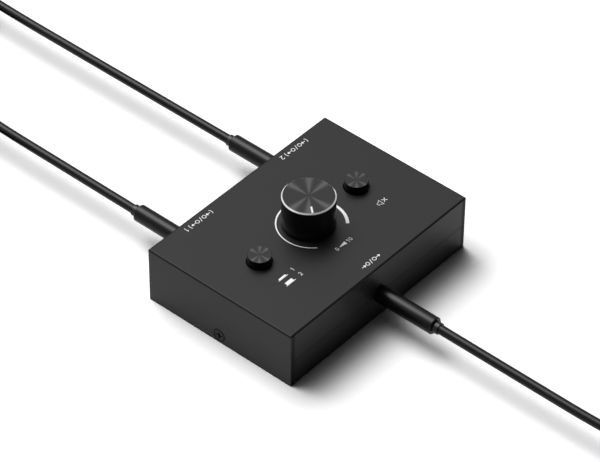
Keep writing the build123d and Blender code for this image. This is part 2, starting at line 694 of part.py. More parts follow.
def report_tube(name, tube, path):
    """Print a tube's length, and its volume as a share of section times length."""
    share = tube.volume / (pi * CORD_RADIUS ** 2 * path.length)
    print(f"  {name} length {path.length:.1f} volume share {share:.4f}")


def write_lead(name, jack, quarter_turns, route):
    """Write every piece of one lead, which rides as one when it is pulled out."""
    jack_x, side = JACKS[jack]
    out = Vector(0, side, 0)
    face = Vector(jack_x, side * (WALL_Y + PLUG_SEAT_GAP), JACK_Z)
    start = face + out * (GRIP_LENGTH + RELIEF_LENGTH)
    points = [start + out * away + Vector(aside, 0, -down) for away, aside, down in route]
    print(name)
    run_path = cord_run(points)
    run = round_tube(run_path, CORD_RADIUS)
    report_tube("run", run, run_path)
    heading = (points[-1] - points[-2]).normalized()
    wound, centre, outer, inner = coil_path(points[-1], heading, out, quarter_turns,
                                            CORD_LENGTH - run_path.length)
    coil = round_tube(wound, CORD_RADIUS)
    report_tube("coil", coil, wound)
    print(f"  coil gap {least_gap(wound, CORD_RADIUS):.2f} centre {centre} radii {inner:.2f} {outer:.2f}")
    last_turn = (2 * quarter_turns + 4) * pi / 2
    far_face = wound @ 1 + (wound % 1) * (GRIP_LENGTH + RELIEF_LENGTH)
    near = Plane(origin=face, z_dir=-out).location
    far = Plane(origin=far_face, z_dir=wound % 1).location
    pieces = plug_pieces()
    for part in ("grip", "relief", "contacts"):
        write(f"{name}_plug_{part}", *[near * shape for shape in pieces[part]])
        write(f"{name}_end_{part}", *[far * shape for shape in pieces[part]])
    write(f"{name}_insulators", *[place * shape for place in (near, far) for shape in pieces["insulators"]])
    write(f"{name}_cord", run)
    write(f"{name}_coil", coil)
    write(f"{name}_tie", tie(centre, outer, inner, last_turn + pi / 2, out))


for name, (jack, quarter_turns, route) in LEADS.items():
    write_lead(name, jack, quarter_turns, route)
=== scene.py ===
"""The audio switch box with its three leads: finishes, printed marks, cords and ties on the CAD frame.

Metres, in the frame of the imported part: +Z up from the table, +X along the case, front at -Y.
"""
import json

import bpy
import numpy as np
from mathutils import Matrix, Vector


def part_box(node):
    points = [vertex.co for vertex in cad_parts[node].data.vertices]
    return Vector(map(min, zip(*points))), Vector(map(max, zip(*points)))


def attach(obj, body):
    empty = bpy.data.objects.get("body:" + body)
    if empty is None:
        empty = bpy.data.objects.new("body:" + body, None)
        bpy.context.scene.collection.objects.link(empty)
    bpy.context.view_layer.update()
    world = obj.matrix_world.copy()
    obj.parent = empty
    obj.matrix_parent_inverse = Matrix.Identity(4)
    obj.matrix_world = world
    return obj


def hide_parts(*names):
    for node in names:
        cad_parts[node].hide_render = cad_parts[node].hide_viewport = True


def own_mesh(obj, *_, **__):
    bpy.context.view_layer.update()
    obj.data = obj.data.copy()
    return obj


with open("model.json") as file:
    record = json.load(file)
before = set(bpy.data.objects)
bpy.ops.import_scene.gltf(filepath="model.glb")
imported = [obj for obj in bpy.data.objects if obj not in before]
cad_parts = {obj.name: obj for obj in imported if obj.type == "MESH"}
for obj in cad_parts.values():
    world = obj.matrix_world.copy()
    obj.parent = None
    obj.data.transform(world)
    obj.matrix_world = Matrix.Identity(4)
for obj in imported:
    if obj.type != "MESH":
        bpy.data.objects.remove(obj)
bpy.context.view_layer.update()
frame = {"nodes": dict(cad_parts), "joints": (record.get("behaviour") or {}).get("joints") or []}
nodes = frame["nodes"]


# The base tray and the cover over it are folded from thin steel sheet.
# Both are sprayed with black powder and baked, which leaves a matt skin with a fine, even grain.

GRAIN_DETAIL = 2.0
PAINT_TONES = ((0.0092, 0.0092, 0.0096, 1.0), (0.0120, 0.0120, 0.0125, 1.0))
PAINT_GRAIN_DEPTH = 0.000006
# Painted shade: a near-black, dull coat mixed in along the top bends and at the upright corners
EDGE_SHADE_COAT = (0.002, 0.002, 0.002, 1.0)
SOFT_EDGE = 0.00070
SOFT_EDGE_SLOPE = 1.4
# How strongly the painted shade darkens the top bends, and below, the upright corners
BEND_SHADE_GAIN = 2.4
CORNER_MIDDLE = 0.0013
CORNER_SHADE_GAIN = 0.6
# The share of the soft edge past which a place is on the face of the front or rear wall
WALL_FACE = 0.97


class Wire:
    """An output of a shader node. Arithmetic on wires adds Math nodes, so a pattern reads as a formula."""

    def __init__(self, finish, socket):
        self.finish = finish
        self.socket = socket

    def math(self, operation, *others):
        """This value and others through one Math node."""
        return self.finish.node("ShaderNodeMath", {"operation": operation}, dict(enumerate((self, *others))))

    def __add__(self, other):
        return self.math("ADD", other)

    def __sub__(self, other):
        return self.math("SUBTRACT", other)

    def __rsub__(self, other):
        return self.math("MULTIPLY_ADD", -1.0, other)

    def __mul__(self, other):
        return self.math("MULTIPLY", other)

    def __truediv__(self, other):
        return self.math("DIVIDE", other)

    def __pow__(self, other):
        return self.math("POWER", other)

    def __abs__(self):
        return self.math("ABSOLUTE")

    def __gt__(self, other):
        return self.math("GREATER_THAN", other)

    def __lt__(self, other):
        return self.math("LESS_THAN", other)

    def at_least(self, other):
        """The larger of this value and another."""
        return self.math("MAXIMUM", other)

    __radd__ = __add__
    __rmul__ = __mul__


class Finish:
    """The shader tree of a material or of the world, built node by node."""

    def __init__(self, owner):
        self.owner = owner
        owner.use_nodes = True
        self.tree = owner.node_tree
        self.tree.nodes.clear()

    def node(self, kind, settings=None, sockets=None, out=0):
        """Add a node: its settings first, then a value or a wire for each named socket."""
        node = self.tree.nodes.new(kind)
        for name, value in (settings or {}).items():
            setattr(node, name, value)
        for name, value in (sockets or {}).items():
            if isinstance(value, Wire):
                self.tree.links.new(value.socket, node.inputs[name])
            else:
                node.inputs[name].default_value = value
        return Wire(self, node.outputs[out]) if node.outputs else None

    def place(self):
        """Object coordinates, which are the frame's own metres."""
        return self.node("ShaderNodeTexCoord", out="Object")

    def axes(self):
        """The three Object coordinates, each as a wire."""
        split = self.node("ShaderNodeSeparateXYZ", sockets={"Vector": self.place()})
        return [Wire(self, socket) for socket in split.socket.node.outputs]

    def grain(self, cells):
        """Soft noise from 0 to 1, with that many cells to the metre."""
        sockets = {"Vector": self.place(), "Scale": cells, "Detail": GRAIN_DETAIL}
        return self.node("ShaderNodeTexNoise", {}, sockets, "Fac")

    def shade(self, amount, low, high):
        """The colour between two, by an amount from 0 to 1."""
        return self.node("ShaderNodeMix", {"data_type": "RGBA"}, {0: amount, 6: low, 7: high}, 2)

    def bump(self, height, depth=1.0):
        """The normal of a surface whose height, from 0 to 1, is depth metres tall."""
        return self.node("ShaderNodeBump", {}, {"Distance": depth, "Height": height}, "Normal")

    def coat(self, sockets):
        """One Principled surface."""
        return self.node("ShaderNodeBsdfPrincipled", {}, sockets)

    def close(self, shader):
        """Make a shader the material's surface."""
        self.node("ShaderNodeOutputMaterial", {}, {"Surface": shader})
        return self.owner

    def surface(self, sockets):
        """Close the material with one Principled surface."""
        return self.close(self.coat(sockets))


def dress(finish, *names):
    """Give CAD nodes a finish in place of the plain colour of their slot."""
    for name in names:
        nodes[name].material_slots[0].material = finish


def case_paint():
    """Powder coat: near-black pigment with faint clouds, an orange-peel grain and a low, even sheen.

    The coat draws round over the bends at the top. Its fall there is the length of (s, t), where s and t are
    how far a place lies inside the soft edge along the walls and along the top. Along the bends, and in a
    band about CORNER_MIDDLE from the ends of the front and rear walls, a near-black, dull coat is mixed in:
    painted shade for the dark lines along the edges and at the upright corners.
    """
    paint = Finish(bpy.data.materials.new("case_paint"))
    peel = paint.grain(cells=2600.0)
    dust = paint.grain(cells=9000.0)
    cloud = paint.grain(cells=40.0)
    half_length, half_depth, top_height = (float(size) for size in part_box("top_cover")[1])
    x, y, z = paint.axes()
    past_end = abs(x) - (half_length - SOFT_EDGE)
    past_wall = abs(y) - (half_depth - SOFT_EDGE)
    side = past_end.at_least(past_wall).at_least(0.0)
    roof = (z - (top_height - SOFT_EDGE)).at_least(0.0)
    fall = (side * side + roof * roof) ** 0.5
    # Masks of painted shade: along the bends at the top, and in a band near the upright corners
    bend_shade = (fall / SOFT_EDGE - 1.0).at_least(0.0) * BEND_SHADE_GAIN
    band = (1.0 - abs((half_length - abs(x)) / CORNER_MIDDLE - 1.0)).at_least(0.0)
    corner = band * (past_wall > WALL_FACE * SOFT_EDGE) * CORNER_SHADE_GAIN
    skin = (peel * 0.7 + dust * 0.3) * PAINT_GRAIN_DEPTH
    even = paint.coat({
        "Base Color": paint.shade(cloud * 0.6 + dust * 0.4, *PAINT_TONES),
        "Roughness": 0.36 + 0.05 * peel + 0.04 * cloud,
        "Specular IOR Level": 0.205,
        "Normal": paint.bump(skin - fall * SOFT_EDGE_SLOPE)})
    # The near-black coat of painted shade for the edges
    painted_shade = paint.coat({"Base Color": EDGE_SHADE_COAT, "Roughness": 0.8, "Specular IOR Level": 0.02})
    return paint.close(paint.node("ShaderNodeMixShader", {}, {0: bend_shade.at_least(corner), 1: even, 2: painted_shade}))


dress(case_paint(), "base_tray", "top_cover")


# The circuit board is glass-cloth laminate under green lacquer, on four turned steel standoffs.
# Zinc-plated pan-head screws hold it down.

BOARD_TONES = ((0.010, 0.075, 0.028, 1.0), (0.016, 0.105, 0.042, 1.0))
CLOTH_THREADS = 2400.0
ZINC = ((0.50, 0.50, 0.47, 1.0), (0.66, 0.66, 0.64, 1.0))
WEAR_FINENESS = 6


def board_laminate():
    """Lacquered laminate: the cloth's crossing threads, two sine waves, show through as a faint relief."""
    board = Finish(bpy.data.materials.new("board_laminate"))
    x, y, _ = board.axes()
    warp = (x * (CLOTH_THREADS * 2 * np.pi)).math("SINE")
    weft = (y * (CLOTH_THREADS * 2 * np.pi)).math("SINE")
    cloth = 0.5 + 0.25 * warp + 0.25 * weft
    lacquer = board.grain(cells=120.0)
    return board.surface({
        "Base Color": board.shade(0.5 * cloth + 0.5 * lacquer, *BOARD_TONES),
        "Roughness": 0.30 + 0.12 * cloth,
        "Normal": board.bump(cloth, depth=0.00001)})


def plated_metal(name, tones, roughness, cells):
    """Bare or plated metal: a tone that drifts between two, with drawn or tumbled grain in its gloss."""
    metal = Finish(bpy.data.materials.new(name))
    wear = metal.grain(cells * WEAR_FINENESS)
    return metal.surface({
        "Base Color": metal.shade(metal.grain(cells), *tones),
        "Metallic": 1.0,
        "Roughness": roughness + 0.12 * wear,
        "Normal": metal.bump(wear, depth=0.000004)})


dress(board_laminate(), "circuit_board")
dress(plated_metal("plated_steel", ZINC, roughness=0.28, cells=500.0),
      "board_standoffs", "board_screws", "pot_bushing", "pot_shaft")


# The jacks, the volume control and the push switches are black or dark grey mouldings on the board.
# Their springs and contacts are stamped or wound from tinned metal, and the control's track is carbon film.

JACK_BLACK = ((0.010, 0.010, 0.010, 1.0), (0.016, 0.016, 0.016, 1.0))
SWITCH_GREY = ((0.030, 0.030, 0.033, 1.0), (0.045, 0.045, 0.048, 1.0))
CARBON = ((0.010, 0.009, 0.008, 1.0), (0.022, 0.020, 0.018, 1.0))
TINNED = ((0.62, 0.56, 0.42, 1.0), (0.80, 0.76, 0.64, 1.0))
SPRING_STEEL = ((0.38, 0.38, 0.39, 1.0), (0.55, 0.55, 0.56, 1.0))
DRIFT_COARSENESS = 20
SWITCHES = ("select", "mute")


def moulded_plastic(name, tones, roughness, cells, depth, gloss=0.5):
    """Moulded plastic: the tool's spark-eroded grain in its height and gloss, over a slight drift of tone."""
    plastic = Finish(bpy.data.materials.new(name))
    erosion = plastic.grain(cells)
    drift = plastic.grain(cells / DRIFT_COARSENESS)
    return plastic.surface({
        "Base Color": plastic.shade(0.5 * drift + 0.5 * erosion, *tones),
        "Roughness": roughness + 0.10 * erosion,
        "Specular IOR Level": gloss,
        "Normal": plastic.bump(erosion, depth)})


jack_finish = moulded_plastic("jack_plastic", JACK_BLACK, roughness=0.42, cells=5000.0, depth=0.000006)
switch_finish = moulded_plastic("switch_plastic", SWITCH_GREY, roughness=0.45, cells=5000.0, depth=0.000006)
track_finish = moulded_plastic("track_carbon", CARBON, roughness=0.55, cells=9000.0, depth=0.000003)
contact_finish = plated_metal("contact_metal", TINNED, roughness=0.25, cells=900.0)
spring_finish = plated_metal("spring_steel", SPRING_STEEL, roughness=0.22, cells=2500.0)
dress(jack_finish, "front_jack_housing", "rear_jack_1_housing", "rear_jack_2_housing")
dress(switch_finish, "pot_housing", "pot_rotor")
dress(track_finish, "pot_track")
dress(contact_finish, "jack_contacts", "pot_terminals")
for switch in SWITCHES:
    dress(switch_finish, f"{switch}_plunger", f"{switch}_switch_housing")
    dress(contact_finish, f"{switch}_bridge", f"{switch}_switch_terminals")
    dress(spring_finish, f"{switch}_spring")
    # Each spring gets a mesh of its own; the button's travel and the spring's seat are read off, but nothing
    # here shortens the spring
    travel = next(joint["range_m"][1] for joint in frame["joints"] if joint["name"] == f"{switch}_press")
    seat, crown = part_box(f"{switch}_spring")
    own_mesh(nodes[f"{switch}_spring"], f"{switch}_press", (0, 0, 1), seat,
              1 - travel / (crown[2] - seat[2]))


# Two countersunk steel screws with cross recesses hold the cover, one low in each end.
# They are blacked in hot oxide and oiled, and driven in flush with the sheet.

OXIDE_BLACK = ((0.026, 0.026, 0.027, 1.0), (0.040, 0.040, 0.042, 1.0))
# Painted shade for the shadowed countersink round each head
RIM_SHADE = (0.001, 0.001, 0.001, 1.0)
HEAD_FLAT = 0.0022


def black_oxide():
    """Oxide-blacked steel: dark and half metallic, with a slightly oily, uneven gloss.

    The rim of each head, further than HEAD_FLAT from the axis that the two screws share, is painted darkest:
    painted shade for the shadow in the countersink round the head.
    """
    low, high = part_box("cover_screws")
    oxide = Finish(bpy.data.materials.new("screw_black"))
    bloom = oxide.grain(cells=1500.0)
    _, y, z = oxide.axes()
    along = y - float(low[1] + high[1]) / 2
    up = z - float(low[2] + high[2]) / 2
    # Where the painted shade of the countersink lies
    rim = (along * along + up * up) ** 0.5 > HEAD_FLAT
    return oxide.surface({
        "Base Color": oxide.shade(rim, oxide.shade(bloom, *OXIDE_BLACK), RIM_SHADE),
        "Metallic": 0.6,
        "Specular IOR Level": 0.03,
        "Roughness": 0.30 + 0.15 * bloom,
        "Normal": oxide.bump(oxide.grain(cells=6000.0), depth=0.000004)})


dress(black_oxide(), "cover_screws")


# The marks on the cover are screen-printed in white ink: a swelling arc round the volume knob, numbers,
# arrows in and out of each jack, the two states of the select button and a silenced loudspeaker.
# Their sizes and places are in millimetres, from the knob's axis.

MM = 0.001
INK_HEIGHT = 0.03
INK_TONES = ((0.90, 0.90, 0.89, 1.0), (0.98, 0.98, 0.97, 1.0))
STROKE = 0.26
FINE_STROKE = 0.17
JACK_MARK_HEIGHT = 2.2
NUMBER_HEIGHT = 1.9
FIGURE_STEP = 0.66
ARROW_HEAD = 0.95
ARROW_HEAD_WIDTHS = (1.425, 0.01)
SIGN_ARROW = (2.9, 5.0)
SIGN_SOCKET = 1.85
SOCKET_RADIUS = 0.78
SLASH_LEAN = 0.45
ARC_CENTRE = (0.72, -0.87)
ARC_RADIUS = 13.40
ARC_SPAN = (229.5, -48.0)
ARC_WIDTHS = (0.24, 1.30)
ARC_SWELL = 1.3
ARC_POINTS = 120
WEDGE_WIDTHS = (0.14, 1.6)
BRACKET = (1.0, 1.5)
BLOCK_BASE = 0.28
BLOCK_GAP = 0.2
BLOCK_BLEED = 0.05
VOLUME_SIGN_PLACE = (0.1, -17.1)
FRONT_SIGN_PLACE = (-0.35, -30.7)
REAR_SIGN_PLACES = {"1": (-26.55, 31.6), "2": (27.6, 31.6)}
# For each state of the select button: the height of the block in its mark, and the mark's place
SELECT_SIGNS = {"1": (0.62, (-28.4, -12.4)), "2": (1.35, (-28.4, -16.2))}
SPEAKER = ((-2.3, -0.55), (-1.5, -0.55), (-0.3, -1.4), (-0.3, 1.4), (-1.5, 0.55), (-2.3, 0.55))
MUTE_SIGN_PLACE = (27.3, -12.7)


def arc(centre, radii, start, end, count=24):
    """Points on an ellipse: its centre plus its radii times (cos a, sin a), for angles a in degrees."""
    angles = np.radians(np.linspace(start, end, count))
    return np.array(centre) + np.stack([np.cos(angles), np.sin(angles)], 1) * radii


# The strokes of each figure, on a grid one figure tall
FIGURES = {
    "0": arc((0.30, 0.50), (0.25, 0.42), 90, 435),
    "1": np.array([(0.06, 0.72), (0.28, 0.92), (0.28, 0.0)]),
    "2": np.vstack([arc((0.30, 0.66), (0.25, 0.26), 165, -38), [(0.06, 0.08), (0.60, 0.08)]])}


def ink_line(path, widths=STROKE, closed=False):
    """A raised line of ink: a flat box profile carried along a path and mitred at its corners.

    Each point p gives four corners, p + m w/2 and p - m w/2 at the panel and at the ink's top. The mitre m
    is the sum of the two neighbouring runs' normals a and b over 1 + a.b.
    """
    path = np.asarray(path, float)
    half = np.broadcast_to(np.asarray(widths, float), len(path))[:, None] / 2
    runs = np.diff(np.vstack([path, path[:1]]) if closed else path, axis=0)
    normals = np.stack([-runs[:, 1], runs[:, 0]], 1) / np.linalg.norm(runs, axis=1)[:, None]
    before = np.roll(normals, 1, axis=0) if closed else np.vstack([normals[:1], normals])
    after = normals if closed else np.vstack([normals, normals[-1:]])
    mitre = (before + after) / (1 + np.sum(before * after, axis=1))[:, None]
    left, right = path + mitre * half, path - mitre * half
    corners = np.stack([left, right, right, left], 1)
    levels = np.broadcast_to([0, 0, INK_HEIGHT, INK_HEIGHT], (len(path), 4))
    rings = np.dstack([corners, levels])
    spans = np.arange(len(path) if closed else len(path) - 1)
    here, there = spans[:, None] * 4, (spans[:, None] + 1) % len(path) * 4
    k, after_k = np.arange(4), (np.arange(4) + 1) % 4
    faces = np.stack([here + k, there + k, there + after_k, here + after_k], 2).reshape(-1, 4)
    if not closed:
        last = 4 * len(path) - 4
        faces = np.vstack([faces, [[0, 1, 2, 3], [last + 3, last + 2, last + 1, last]]])
    return rings.reshape(-1, 3), faces


def arrow(tail, tip):
    """A level shaft and a pointed head, as two lines of ink that meet a head's length before the tip."""
    neck = tip - ARROW_HEAD
    return [ink_line([(tail, 0), (neck, 0)]), ink_line([(neck, 0), (tip, 0)], ARROW_HEAD_WIDTHS)]


def number(text, left, height, middle=0.0, pen=STROKE):
    """Figures drawn with a pen: each one's strokes times the height, one step further right than the last."""
    lines = []
    for figure in text:
        corner = np.array([left, middle - height / 2])
        lines.append(ink_line(corner + FIGURES[figure] * height, pen, closed=figure == "0"))
        left += FIGURE_STEP * height
    return lines


def in_out_sign(middle):
    """An arrow into a socket, a slash, and an arrow out of a socket, mirrored about the sign's middle."""
    near, far = SIGN_ARROW
    half = JACK_MARK_HEIGHT / 2
    lines = arrow(middle - far, middle - near) + arrow(middle + near, middle + far)
    for socket in (middle - SIGN_SOCKET, middle + SIGN_SOCKET):
        lines.append(ink_line(arc((socket, 0), (SOCKET_RADIUS, SOCKET_RADIUS), 0, 345), closed=True))
    lines.append(ink_line([(middle - SLASH_LEAN, -half), (middle + SLASH_LEAN, half)]))
    return lines


def white_coat(coat, bare=None, ground=None):
    """White ink or paint: matt, and slightly uneven where the mesh of the screen or the brush was.

    Where bare is 1 the colour of the ground shows in its place.
    """
    screen = coat.grain(cells=4000.0)
    tone = coat.shade(screen, *INK_TONES)
    if bare is not None:
        tone = coat.shade(bare, tone, ground)
    return coat.surface({
        "Base Color": tone,
        "Roughness": 0.50 + 0.10 * screen,
        "Specular IOR Level": 0.3,
        "Normal": coat.bump(screen, depth=0.000004)})


ink = white_coat(Finish(bpy.data.materials.new("pointer_white")))
panel_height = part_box("top_cover")[1][2]


def ink_mark(name, lines, centre=(0.0, 0.0), turn=0.0):
    """Join lines of ink into one mark, turn it about its middle by degrees, and set it down on the cover."""
    firsts = np.cumsum([0] + [len(points) for points, _ in lines[:-1]])
    points = np.vstack([points for points, _ in lines])
    faces = np.vstack([faces + first for (_, faces), first in zip(lines, firsts)])
    cosine, sine = np.cos(np.radians(turn)), np.sin(np.radians(turn))
    flat = points[:, :2] @ np.array([[cosine, sine], [-sine, cosine]]) + centre
    placed = np.column_stack([flat * MM, points[:, 2] * MM + panel_height])
    mesh = bpy.data.meshes.new(name)
    mesh.from_pydata(placed.tolist(), [], faces.tolist())
    mesh.materials.append(ink)
    mark = bpy.data.objects.new(name, mesh)
    bpy.context.scene.collection.objects.link(mark)
    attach(mark, "case")


# The printed arc swells from the knob's low end, front left, clockwise to its high end, front right
thin_end, wide_end = ARC_WIDTHS
swell = thin_end + (wide_end - thin_end) * np.linspace(0, 1, ARC_POINTS) ** ARC_SWELL
arc_path = arc(ARC_CENTRE, (ARC_RADIUS, ARC_RADIUS), *ARC_SPAN, ARC_POINTS)
ink_mark("volume_arc", [ink_line(arc_path, swell)])

wedge = ink_line([(-2.3, -0.02), (1.2, -0.02)], WEDGE_WIDTHS)
scale_start = number("0", -4.3, NUMBER_HEIGHT, pen=FINE_STROKE)
scale_end = number("10", 2.0, NUMBER_HEIGHT, pen=FINE_STROKE)
ink_mark("volume_sign", scale_start + [wedge] + scale_end, VOLUME_SIGN_PLACE)

ink_mark("front_jack_sign", in_out_sign(0.0), FRONT_SIGN_PLACE)
for figure, place in REAR_SIGN_PLACES.items():
    brackets = [ink_line(arc((-6.6, 0), BRACKET, 130, 230)), ink_line(arc((3.2, 0), BRACKET, 50, -50))]
    ink_mark(f"rear_jack_sign_{figure}",
             in_out_sign(-1.7) + brackets + number(figure, 5.6, JACK_MARK_HEIGHT), place, 180.0)

for figure, (block_height, place) in SELECT_SIGNS.items():
    base = ink_line([(-2.5, 0.0), (2.5, 0.0)], BLOCK_BASE)
    block_middle = block_height / 2 + BLOCK_GAP
    block = ink_line([(-1.85, block_middle), (1.85, block_middle)], block_height + BLOCK_BLEED)
    state = number(figure, 5.3, NUMBER_HEIGHT, 0.6, FINE_STROKE)
    ink_mark(f"select_sign_{figure}", [base, block] + state, place)

cross = [ink_line([(0.6, -0.85), (2.3, 0.85)]), ink_line([(0.6, 0.85), (2.3, -0.85)])]
ink_mark("mute_sign", [ink_line(SPEAKER, FINE_STROKE, closed=True)] + cross, MUTE_SIGN_PLACE)


# The volume knob and the two button caps are turned from aluminium and anodised black.
# Their faces are spun in fine rings, the rays of light those rings catch are painted highlights in the face's
# colour, and the knob's rim is cut bright.
# A groove milled in the knob's face is filled with white paint and points along the scale.

ANODISED_SIDE = (0.004, 0.004, 0.0042, 1.0)
ANODISED_PALE = (0.007, 0.007, 0.0073, 1.0)
FACE_DARK = (0.026, 0.026, 0.027, 1.0)
# Painted highlight: the colour of the rays of light caught by the spun rings, and their ways and focus
FACE_HIGHLIGHT = (0.074, 0.074, 0.076, 1.0)
CUT_RIM = (0.80, 0.80, 0.80, 1.0)
GROOVE = (0.045, 0.045, 0.046, 1.0)
HIGHLIGHT_WAYS = ((-0.758, -0.652), (1.0, 0.0), (0.0, 1.0))
HIGHLIGHT_FOCUS = 44.0
RINGS = 6000.0
KNOB_FACE = 0.00985
BUTTON_FACE = 0.0045
FACE_DEPTH = 0.00003
RIM_DEPTH = 0.0006
AXIS_GUARD = 0.00001
POINTER_HALF = 0.00033


def turned_metal(name, cap, face_radius, rim):
    """Turned and anodised aluminium on the axis of one cap: black side, rim, and a spun face.

    Each ray is a painted highlight, the squared cosine of the angle from its way to a high power, and the
    rings are a noise of the radius alone, so both follow the lathe's axis.
    """
    low, high = (np.array(corner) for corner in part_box(cap))
    centre_x, centre_y, _ = (low + high) / 2
    metal = Finish(bpy.data.materials.new(name))
    x, y, z = metal.axes()
    east, north = x - float(centre_x), y - float(centre_y)
    reach = (east * east + north * north) ** 0.5 + AXIS_GUARD
    face = (z > float(high[2]) - FACE_DEPTH) * (reach < face_radius)
    edge = (z > float(high[2]) - RIM_DEPTH) * (reach > face_radius)
    rings = metal.node("ShaderNodeTexNoise", {"noise_dimensions": "1D"},
                       {"W": reach * RINGS, "Scale": 1.0, "Detail": GRAIN_DETAIL}, "Fac")
    # The rays are painted highlights, lightening the face's colour along three fixed ways
    highlight_rays = 0.0
    for way_x, way_y in HIGHLIGHT_WAYS:
        along = (east * way_x + north * way_y) / reach
        highlight_rays = (along * along) ** HIGHLIGHT_FOCUS + highlight_rays
    face_with_highlights = metal.shade(highlight_rays * (0.55 + 0.9 * rings), FACE_DARK, FACE_HIGHLIGHT)
    side = metal.shade(metal.grain(cells=1500.0), ANODISED_SIDE, ANODISED_PALE)
    skin = metal.shade(face, side, face_with_highlights)
    return metal.surface({
        "Base Color": metal.shade(edge, skin, rim),
        "Metallic": (face * 0.9).at_least(edge),
        "Roughness": 0.34 + 0.08 * face * rings - 0.16 * edge,
        "Specular IOR Level": 0.15})


def pointer_fill():
    """White paint in the pointer's groove, full along its middle and bare over dark metal at its sides.

    The line runs from the knob's axis through the middle of the groove, and a place lies aside of it by the
    cross product of the two.
    """
    low, high = (np.array(corner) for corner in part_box("knob_pointer"))
    way_x, way_y = ((low + high) / np.linalg.norm((low + high)[:2]))[:2]
    fill = Finish(bpy.data.materials.new("pointer_fill"))
    x, y, _ = fill.axes()
    bare = abs(x * float(way_y) - y * float(way_x)) > POINTER_HALF
    return white_coat(fill, bare, GROOVE)


dress(turned_metal("knob_metal", "knob", KNOB_FACE, CUT_RIM), "knob")
dress(pointer_fill(), "knob_pointer")
for switch in SWITCHES:
    cap = f"{switch}_button_cap"
    dress(turned_metal(f"button_metal_{switch}", cap, BUTTON_FACE, ANODISED_SIDE), cap)


# Each lead ends in a moulded 3.5 mm plug: a satin black grip, a soft collar where the cord enters, and a
# nickel-plated pin whose sleeve, ring and tip are parted by black rings.

GRIP_BLACK = ((0.002, 0.002, 0.0021, 1.0), (0.004, 0.004, 0.0042, 1.0))
COLLAR_BLACK = ((0.005, 0.005, 0.005, 1.0), (0.009, 0.009, 0.009, 1.0))
NICKEL = ((0.70, 0.69, 0.66, 1.0), (0.82, 0.81, 0.79, 1.0))
LEADS = ("front_lead", "rear_lead_1", "rear_lead_2")

grip_finish = moulded_plastic("grip_plastic", GRIP_BLACK,
                              roughness=0.19, cells=4000.0, depth=0.000002, gloss=0.175)
collar_finish = moulded_plastic("grip_rubber", COLLAR_BLACK,
                                roughness=0.22, cells=5000.0, depth=0.000002, gloss=0.26)
pin_finish = plated_metal("plug_plating", NICKEL, roughness=0.16, cells=700.0)
ring_finish = moulded_plastic("insulator_plastic", JACK_BLACK, roughness=0.40, cells=6000.0, depth=0.000003)
for lead in LEADS:
    dress(grip_finish, f"{lead}_plug_grip", f"{lead}_end_grip")
    dress(collar_finish, f"{lead}_plug_relief", f"{lead}_end_relief")
    dress(pin_finish, f"{lead}_plug_contacts", f"{lead}_end_contacts")
    dress(ring_finish, f"{lead}_insulators")


# The cords are round, flexible and black, 3.8 mm thick and 0.91 m long between collars. Each spans from its
# plug to a coil of its spare length, which is wound in two layers, tied, and ends in a second plug.

CORD_DIAMETER = 0.0038
CORD_LENGTH = 0.91
TURN_PITCH = 0.0044
UPPER_LAYER = 0.0074
LOWER_LAYER = 0.0030
ENTRY_HEIGHT = 0.0079
PLUG_HEIGHT = 0.0035
TAIL_STEP = 0.0060
TAIL_QUARTERS = 4
POINTS_PER_QUARTER = 4
# The share of a cord's shift that the run's last two points have made, and the coil's first two still lack
SHIFT_MADE = (0.15, 0.55)
SHIFT_LEFT = (0.35, 0.05)
FALL_POWER = 1.5
SPLINE_STEPS = 6
ROUND_STEPS = 6
JACKET_TONES = ((0.002, 0.002, 0.0021, 1.0), (0.004, 0.004, 0.0042, 1.0))
# For each lead: where the cord leaves its plug's collar, the way out along Y, the lean of its seen run along
# +X for each metre out, its coil's quarter turns to a layer, and the route to its coil as distance out, shift
# along +X and drop
CORD_ROUTES = {
    "front_lead": ((-0.0002, -0.0640, 0.0115), -1, -0.0056, 10, [
        (0.0, 0.0, 0.0), (0.009, 0.0, 0.0), (0.021, 0.00015, 0.0002), (0.035, 0.00065, 0.00085),
        (0.050, 0.00135, 0.00175), (0.065, 0.00195, 0.00255), (0.079, 0.00245, 0.00315),
        (0.092, 0.00275, 0.00355)]),
    "rear_lead_1": ((-0.0267, 0.0640, 0.0115), 1, 0.0030, 11, [
        (0.0, 0.0, 0.0), (0.009, 0.0, 0.0), (0.021, 0.00015, 0.0002), (0.035, 0.0007, 0.00085),
        (0.050, 0.00145, 0.00175), (0.065, 0.0021, 0.00255), (0.080, 0.0026, 0.00315),
        (0.094, 0.00295, 0.00355)]),
    "rear_lead_2": ((0.0271, 0.0640, 0.0115), 1, -0.0012, 10, [
        (0.0, 0.0, 0.0), (0.011, 0.0, 0.0), (0.027, 0.00015, 0.0002), (0.046, 0.0006, 0.00075),
        (0.067, 0.0013, 0.00155), (0.088, 0.0019, 0.00225), (0.110, 0.00245, 0.00285),
        (0.131, 0.0029, 0.0033), (0.150, 0.00315, 0.00355)])}


def coil_end(quarters):
    """Quarter turns in a whole coil: its two layers, and those to change layers and swing out to the plug."""
    return 2 * quarters + TAIL_QUARTERS


def coil_offset(t, quarters):
    """How far outside its outer radius a coil is after t quarter turns.

    It closes in by a quarter of the pitch for each quarter turn, opens out again, and swings out at its tail.
    """
    end = coil_end(quarters)
    depth = TURN_PITCH / 4 * (quarters + 1)
    return np.interp(t, [0, quarters + 1, end - 2, end - 1, end], [0, -depth, 0, TAIL_STEP / 2, TAIL_STEP])


